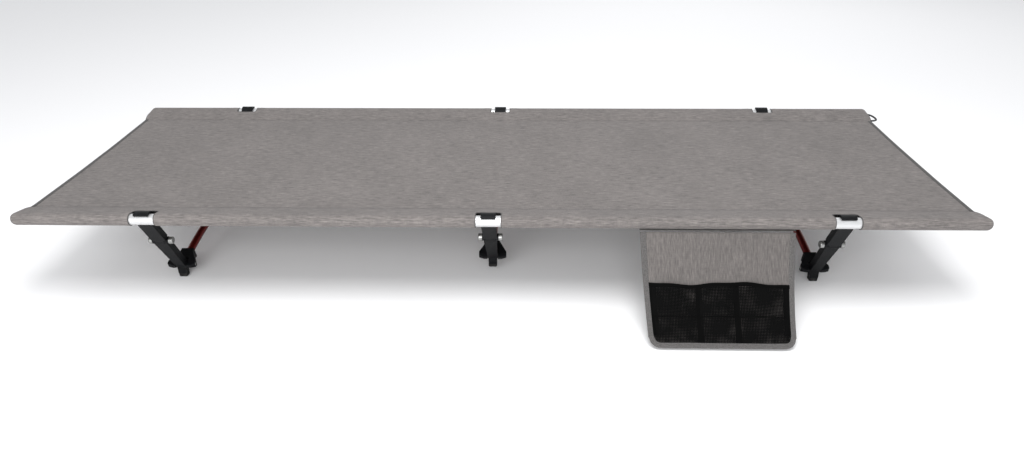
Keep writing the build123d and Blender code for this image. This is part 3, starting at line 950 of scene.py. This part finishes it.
def make_stage():
    """Pale floor and soft light from above and the front."""
    bpy.context.scene.view_settings.view_transform = "Standard"
    bpy.ops.mesh.primitive_plane_add(size=30, location=(0, 0, 0))
    floor = bpy.context.object
    floor.name = "studio_floor"
    white = Finish("studio_white", Roughness=0.9, Specular_IOR_Level=0.2)
    white.colour((0.93, 0.93, 0.935, 1))
    floor.data.materials.append(white.material)
    world = bpy.data.worlds.new("studio")
    bpy.context.scene.world = world
    world.use_nodes = True
    world.node_tree.nodes["Background"].inputs["Color"].default_value = (0.97, 0.98, 1.0, 1)
    world.node_tree.nodes["Background"].inputs["Strength"].default_value = 0.72
    for name, place, aim, size, power in (
        ("softbox_top", (0.1, -0.9, 2.4), (0, -0.1, 0), 1.3, 38),
        ("softbox_front", (-0.5, -3.0, 1.0), (0, 0, 0), 2.4, 74),
        ("softbox_back", (1.0, 2.8, 2.0), (0, 0, 0.1), 2.2, 14),
    ):
        light = bpy.data.lights.new(name, "AREA")
        light.energy = power
        light.size = size
        lamp = bpy.data.objects.new(name, light)
        lamp.location = place
        lamp.rotation_euler = (Vector(aim) - Vector(place)).to_track_quat("-Z", "Y").to_euler()
        bpy.context.scene.collection.objects.link(lamp)


def make_camera():
    """The camera: a 26 mm lens in front of the cot and above it."""
    heading, down, tilt = math.radians(-1.626), math.radians(27.96), math.radians(-0.433)
    ahead = Vector((math.sin(heading) * math.cos(down), math.cos(heading) * math.cos(down), -math.sin(down)))
    level = Vector((math.cos(heading), -math.sin(heading), 0))
    up = level.cross(ahead)
    right = math.cos(tilt) * level + math.sin(tilt) * up
    top = math.cos(tilt) * up - math.sin(tilt) * level
    camera = bpy.data.objects.new("camera", bpy.data.cameras.new("camera"))
    camera.data.lens = 26.42
    camera.data.sensor_width = 36
    camera.data.clip_start = 0.05
    turn = Matrix((right, top, -ahead)).transposed().to_4x4()
    camera.matrix_world = Matrix.Translation((0.0713, -1.5959, 0.8661)) @ turn
    bpy.context.scene.collection.objects.link(camera)
    bpy.context.scene.camera = camera


def main():
    materials = {
        "bed": heather("bed_heather_cloth", 0.138),
        "pocket": heather("pocket_heather_cloth", 0.102, turned=True, dark=0.66, light=1.38),
        "tape": edge_tape("grey_binding_tape", 0.080),
        "hem tape": edge_tape("dark_hem_tape", 0.070),
        "thread": thread("grey_thread", 0.13),
        "bed thread": thread("dark_grey_thread", 0.10),
        "net": knitted_mesh("black_net"),
        "black tape": black_tape("black_seam_tape"),
        "nylon": moulded_nylon("black_moulded_nylon"),
        "red": anodised_red("red_anodised_tube"),
        "aluminium": drawn_aluminium("bright_drawn_tube"),
        "steel": turned_steel("turned_steel"),
        "rubber": foot_rubber("foot_rubber"),
        "cord": braided_cord("black_braided_cord"),
    }
    make_stage()
    make_camera()
    dress_frame(materials)

    loop, route = make_corner_loop(materials["cord"])
    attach(loop, "frame")
    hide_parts("corner_loop")

    bed = make_bed_cloth(materials["bed"])
    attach(bed, "frame")
    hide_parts("bed_cloth")
    trims = []
    for end, node in ((-1, "left_hem_binding"), (1, "right_hem_binding")):
        tape, sewing = make_hem(end, materials["hem tape"], materials["bed thread"])
        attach(tape, "frame")
        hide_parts(node)
        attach(sewing, "frame")
        trims += [tape, sewing]
    for hem in make_window_hems(materials["hem tape"]):
        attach(hem, "frame")
        trims.append(hem)
    for end in (-1, 1):
        for side in SIDES:
            rolled = make_sleeve_end_hem(end, side, materials["hem tape"])
            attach(rolled, "frame")
            trims.append(rolled)
    seams = make_sleeve_seams(materials["bed thread"])
    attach(seams, "frame")
    trims.append(seams)

    cloth, border, net, hem, dividers, sewing = make_pocket(materials)
    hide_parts("pocket_back")
    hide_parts("pocket_border")
    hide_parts("pocket_mesh")
    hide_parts("pocket_mesh_hem")
    slots = [(cloth, "grey_cloth"), (border, "edge_tape"), (net, "black_mesh"), (hem, "black_mesh")]
    slots += [(sewing, "edge_tape"), *[(divider, "black_mesh") for divider in dividers]]
    for piece, slot in slots:
        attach(piece, "pocket")
    band = make_pocket_band(materials["tape"])
    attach(band, "frame")
    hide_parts("pocket_seam_tape")
    POCKET_LENGTH * (1 - MESH_START)


main()
